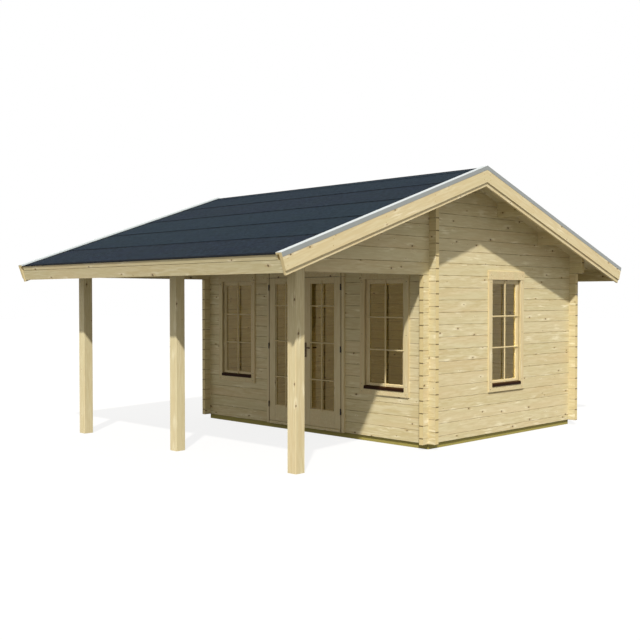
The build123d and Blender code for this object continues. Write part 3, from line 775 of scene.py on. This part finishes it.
def glazing_beads(shape, wall, left, right, low, high, pane, sheet):
    """A mitred bead round the glass, on both faces, with a rounded inner edge."""
    for outward in (1, -1):
        back = pane + outward * (sheet / 2 + glazing_gap)
        shoulder = back + outward * bead_depth * bead_shoulder_share
        section = [(0.0, back), (bead_width, back), (bead_width, shoulder)]
        for turn in bead_turns:
            angle = math.radians(turn)
            rise_share = bead_shoulder_share + (1 - bead_shoulder_share) * math.sin(angle)
            section.append((bead_width * math.cos(angle), back + outward * bead_depth * rise_share))
        corners = []
        for x_side, z_side in ((-1, -1), (1, -1), (1, 1), (-1, 1)):
            corner = []
            for inset, out in section:
                across = left + inset if x_side < 0 else right - inset
                height = low + inset if z_side < 0 else high - inset
                corner.append(wall(across, height, out))
            corners.append(corner)
        shape.sweep(corners, closed=True)


window_bars = Shape()
window_beads = Shape()
for wall in window_walls:
    span = (-window_glass_half, window_glass_half, window_glass_low, window_glass_high)
    glazing_bars(window_bars, wall, *span, window_bar_heights, sash_face + glazing_gap, sash_bar_lap)
    glazing_beads(window_beads, wall, *span, -window_pane_back, window_pane_sheet)
window_bars.made("window_bars", spruce_joinery, "cabin")
window_beads.made("window_beads", spruce_joinery, "cabin")
for side, body in ((1, "right_door"), (-1, "left_door")):
    door_bars = Shape()
    door_beads = Shape()
    wall = door_leaf_wall(side)
    span = (door_glass_inner, door_glass_outer, door_glass_low, door_glass_high)
    glazing_bars(door_bars, wall, *span, door_bar_heights, door_leaf_face + glazing_gap, door_bar_lap)
    glazing_beads(door_beads, wall, *span, 0.0, door_pane_sheet)
    door_bars.made(body + "_bars", spruce_joinery, body)
    door_beads.made(body + "_beads", spruce_joinery, body)


def screw_head(shape, place, outward):
    """A raised countersunk head with a driver socket."""
    outward = Vector(outward).normalized()
    aside = outward.orthogonal().normalized()
    upward = outward.cross(aside)
    rings = []
    for radius_share, rise_share in screw_profile_shares:
        ring = []
        for number in range(screw_sides):
            turn = 2 * math.pi * number / screw_sides
            arm = aside * math.cos(turn) + upward * math.sin(turn)
            ring.append(Vector(place) + arm * screw_radius * radius_share + outward * screw_rise * rise_share)
        rings.append(ring)
    shape.sweep(rings)


casing_screws = Shape()
for wall in window_walls:
    out = Vector(wall(0, 0, 1)) - Vector(wall(0, 0, 0))
    for side in (-1, 1):
        across = side * (casing_inner + casing_outer) / 2
        for height in casing_screw_heights:
            screw_head(casing_screws, wall(across, height, casing_face), out)
        screw_head(casing_screws, wall(across, casing_head_middle, casing_head_face), out)
        screw_head(casing_screws, wall(across, casing_foot_middle, casing_face), out)
casing_screws.made("casing_screws", dark_iron, "cabin")

barge_screws = Shape()
barge_screw_places = [barge_screw_first] + [share * barge_reach for share in barge_screw_shares]
for side in (-1, 1):
    for slope_side in (-1, 1):
        for y in barge_screw_places:
            for depth in barge_screw_depths:
                z = ridge_height - y * math.tan(roof_slope) - depth / math.cos(roof_slope)
                screw_head(barge_screws, (side * barge_face, slope_side * y, z), (side, 0, 0))
barge_screws.made("barge_screws", zinc, "cabin")

# Camera at the photograph's place
camera = bpy.data.objects.new("photo_camera", bpy.data.cameras.new("photo_camera"))
camera.data.lens = camera_lens
camera.location = camera_place
camera.rotation_euler = (math.pi / 2 - camera_dip, 0, camera_turn)
bpy.context.scene.collection.objects.link(camera)
bpy.context.scene.camera = camera

# Key lamp
key = bpy.data.objects.new("key_lamp", bpy.data.lights.new("key_lamp", "SUN"))
key.data.energy = key_strength
key.data.angle = key_softness
key.data.color = linear(key_colour)[:3]
key.rotation_euler = key_direction.to_track_quat("Z", "Y").to_euler()
bpy.context.scene.collection.objects.link(key)


def plainly_seen(tree):
    """1 for what the eye meets directly, in metal or through glass, and 0 for light on the object."""
    path = node(tree, "LightPath")
    seen = maths(tree, "MAXIMUM", path.outputs["Is Camera Ray"], path.outputs["Is Glossy Ray"])
    return maths(tree, "MAXIMUM", seen, path.outputs["Is Transmission Ray"])


def studio_world():
    """A soft fill on the object, and plain white to the eye."""
    world = bpy.data.worlds.new("studio")
    world.use_nodes = True
    bpy.context.scene.world = world
    tree = world.node_tree
    tree.nodes.clear()
    fill = node(tree, "Background", {"Color": linear(sky_colour), "Strength": sky_strength})
    white = node(tree, "Background", {"Color": linear("#ffffff"), "Strength": 1.0})
    sky = node(tree, "MixShader", (plainly_seen(tree), fill, white))
    node(tree, "OutputWorld", (sky,))


def studio_floor():
    """A pale matt floor: white to the eye with a faint shadow, and grey to the light it throws back."""
    mesh = bpy.data.meshes.new("studio_floor")
    corners = [(x * floor_half, y * floor_half, 0) for x, y in ((-1, -1), (1, -1), (1, 1), (-1, 1))]
    mesh.from_pydata(corners, [], [(0, 1, 2, 3)])
    floor = bpy.data.objects.new("studio_floor", mesh)
    bpy.context.scene.collection.objects.link(floor)
    floor.location.z = -floor_drop
    material = bpy.data.materials.new("pale_studio_floor")
    material.use_nodes = True
    tree = material.node_tree
    tree.nodes.clear()
    matt = node(tree, "BsdfDiffuse", {"Color": linear("#7c7c7c")})
    paper = node(tree, "BsdfDiffuse", {"Color": linear("#f2f2f2")})
    white = node(tree, "Emission", {"Color": linear("#ffffff"), "Strength": 1.0})
    pale = node(tree, "MixShader", (floor_paper_share, white, paper))
    ground = node(tree, "MixShader", (plainly_seen(tree), matt, pale))
    node(tree, "OutputMaterial", (ground,))
    mesh.materials.append(material)


studio_world()
studio_floor()
bpy.context.scene.view_settings.view_transform = "Standard"
